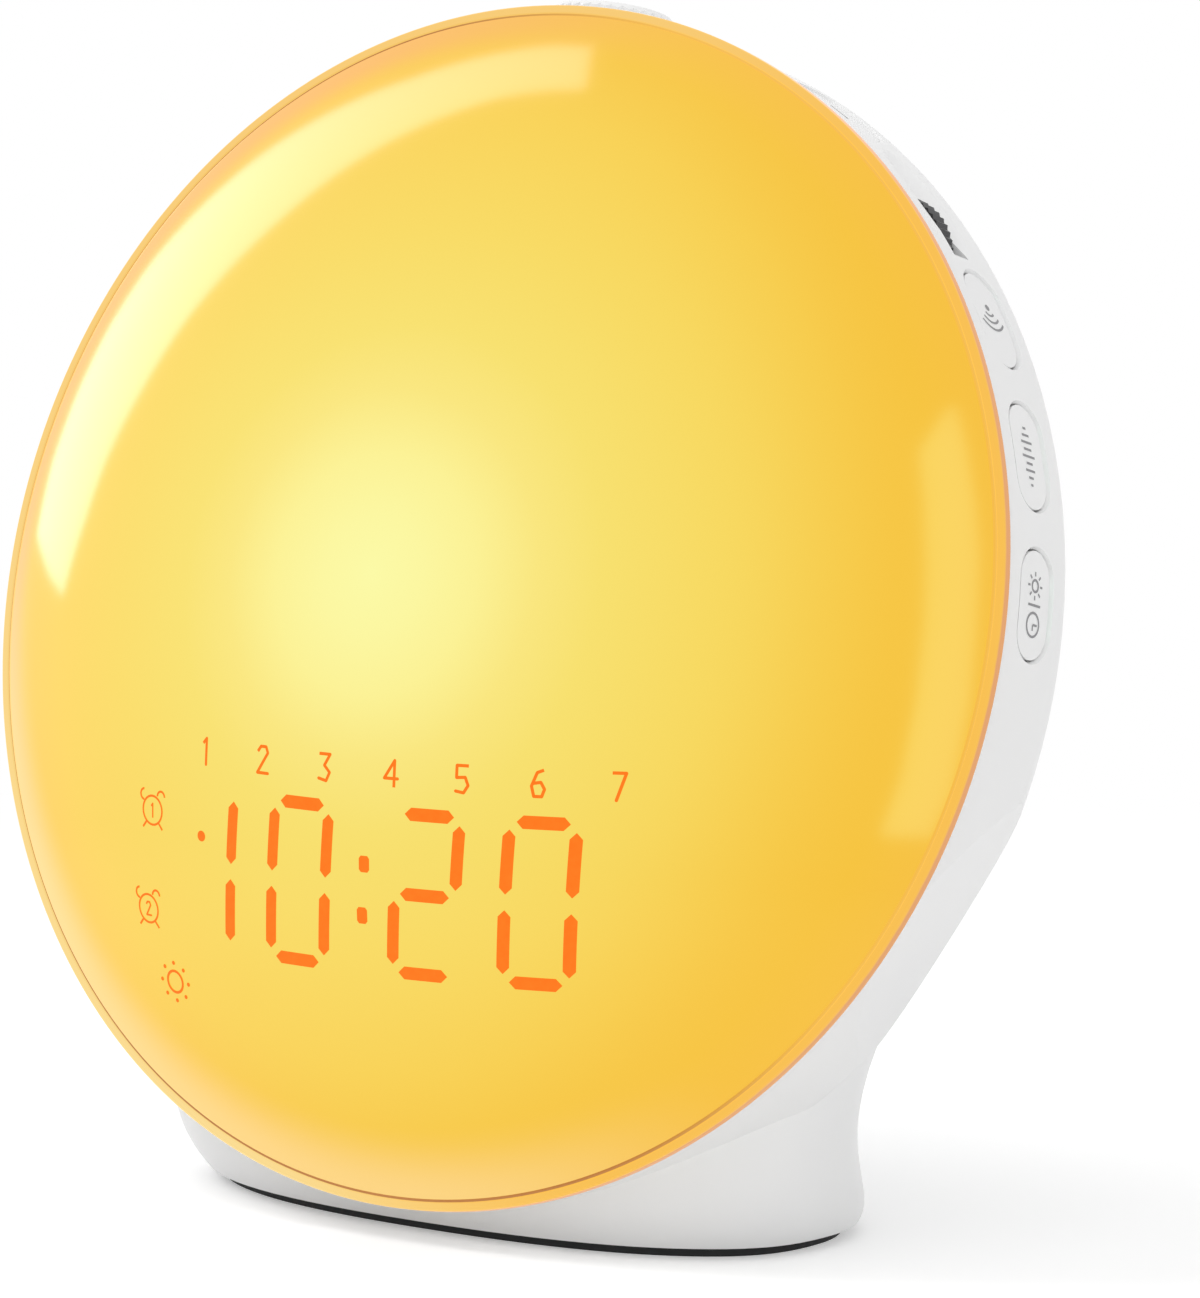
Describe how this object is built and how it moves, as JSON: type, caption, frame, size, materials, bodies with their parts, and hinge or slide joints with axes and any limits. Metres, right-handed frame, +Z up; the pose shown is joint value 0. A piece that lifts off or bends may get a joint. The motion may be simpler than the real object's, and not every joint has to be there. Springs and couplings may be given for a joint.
{
  "type": "sunrise alarm clock",
  "caption": "Round domed wake-up light and alarm clock that leans back on an oval foot, with side keys, a thumbwheel and a push-and-turn top knob.",
  "frame": {"origin": "centre of the foot's resting face on the table", "axes": "+X to the right seen from the front, +Y to the back, +Z up"},
  "size_m": [0.17, 0.0727, 0.1707],
  "materials": {
    "dome": "gloss",
    "shell": "satin",
    "black_plastic": "matte",
    "wheel_plastic": "satin",
    "white_inner": "matte",
    "screw_steel": "satin",
    "ballast_steel": "matte",
    "circuit_board": "satin",
    "lamp": "satin",
    "red_lamp": "satin",
    "speaker_paper": "matte",
    "pad_rubber": "matte"
  },
  "bodies": {
    "case": {"housing": "shell", "front_diffuser": "dome", "rear_cover": "shell", "rear_cover_screws": "screw_steel", "key_switches": "black_plastic", "wheel_encoder": "black_plastic", "knob_encoder": "black_plastic", "reflector": "white_inner", "light_board": "circuit_board", "lamps": "lamp", "display_mask": "black_plastic", "display_board": "circuit_board", "display_lamps": "red_lamp", "display_ribbon": "white_inner", "main_board": "circuit_board", "board_spacers": "white_inner", "board_screws": "screw_steel", "main_chips": "black_plastic", "cell_holder": "black_plastic", "coin_cell": "screw_steel", "speaker_basket": "black_plastic", "speaker_cone": "speaker_paper", "speaker_magnet": "ballast_steel", "foot_pad": "pad_rubber", "base_plate": "black_plastic", "base_screws": "screw_steel", "ballast_plate": "ballast_steel", "power_socket": "black_plastic"},
    "volume_wheel": {"volume_wheel": "wheel_plastic", "wheel_shaft": "screw_steel"},
    "knob_shaft": {"knob_shaft": "screw_steel"},
    "top_knob": {"top_knob": "shell"},
    "right_key_1": {"right_key_1": "shell"},
    "right_key_2": {"right_key_2": "shell"},
    "right_key_3": {"right_key_3": "shell"},
    "right_key_4": {"right_key_4": "shell"},
    "right_key_5": {"right_key_5": "shell"},
    "left_key_1": {"left_key_1": "shell"},
    "left_key_2": {"left_key_2": "shell"},
    "left_key_3": {"left_key_3": "shell"},
    "left_key_4": {"left_key_4": "shell"}
  },
  "joints": [
    {"name": "right_key_1_press", "type": "slide", "parent": "case", "child": "right_key_1", "axis": [-0.2907, -0.2315, -0.9284], "range_m": [0, 0.0005], "stiffness_N_per_m": 1000, "springref_m": -0.0005},
    {"name": "right_key_2_press", "type": "slide", "parent": "case", "child": "right_key_2", "axis": [-0.5105, -0.208, -0.8343], "range_m": [0, 0.0005], "stiffness_N_per_m": 1000, "springref_m": -0.0005},
    {"name": "right_key_3_press", "type": "slide", "parent": "case", "child": "right_key_3", "axis": [-0.8508, -0.1271, -0.5099], "range_m": [0, 0.0005], "stiffness_N_per_m": 1000, "springref_m": -0.0005},
    {"name": "right_key_4_press", "type": "slide", "parent": "case", "child": "right_key_4", "axis": [-0.9516, -0.0744, -0.2982], "range_m": [0, 0.0005], "stiffness_N_per_m": 1000, "springref_m": -0.0005},
    {"name": "right_key_5_press", "type": "slide", "parent": "case", "child": "right_key_5", "axis": [-0.9974, -0.0173, -0.0694], "range_m": [0, 0.0005], "stiffness_N_per_m": 1000, "springref_m": -0.0005},
    {"name": "left_key_1_press", "type": "slide", "parent": "case", "child": "left_key_1", "axis": [0.5105, -0.208, -0.8343], "range_m": [0, 0.0005], "stiffness_N_per_m": 1000, "springref_m": -0.0005},
    {"name": "left_key_2_press", "type": "slide", "parent": "case", "child": "left_key_2", "axis": [0.6997, -0.1728, -0.6932], "range_m": [0, 0.0005], "stiffness_N_per_m": 1000, "springref_m": -0.0005},
    {"name": "left_key_3_press", "type": "slide", "parent": "case", "child": "left_key_3", "axis": [0.8508, -0.1271, -0.5099], "range_m": [0, 0.0005], "stiffness_N_per_m": 1000, "springref_m": -0.0005},
    {"name": "left_key_4_press", "type": "slide", "parent": "case", "child": "left_key_4", "axis": [0.9516, -0.0744, -0.2982], "range_m": [0, 0.0005], "stiffness_N_per_m": 1000, "springref_m": -0.0005},
    {"name": "volume_wheel_turn", "type": "hinge", "parent": "case", "child": "volume_wheel", "pos_m": [0.0552, 0.00668, 0.13586], "axis": [0, 0.9703, -0.2419], "continuous": true},
    {"name": "top_knob_press", "type": "slide", "parent": "case", "child": "knob_shaft", "axis": [0, -0.2419, -0.9703], "range_m": [0, 0.0005], "stiffness_N_per_m": 3000, "springref_m": -0.0005},
    {"name": "top_knob_turn", "type": "hinge", "parent": "knob_shaft", "child": "top_knob", "pos_m": [0, 0.02144, 0.16654], "axis": [0, 0.2419, 0.9703], "continuous": true}
  ]
}
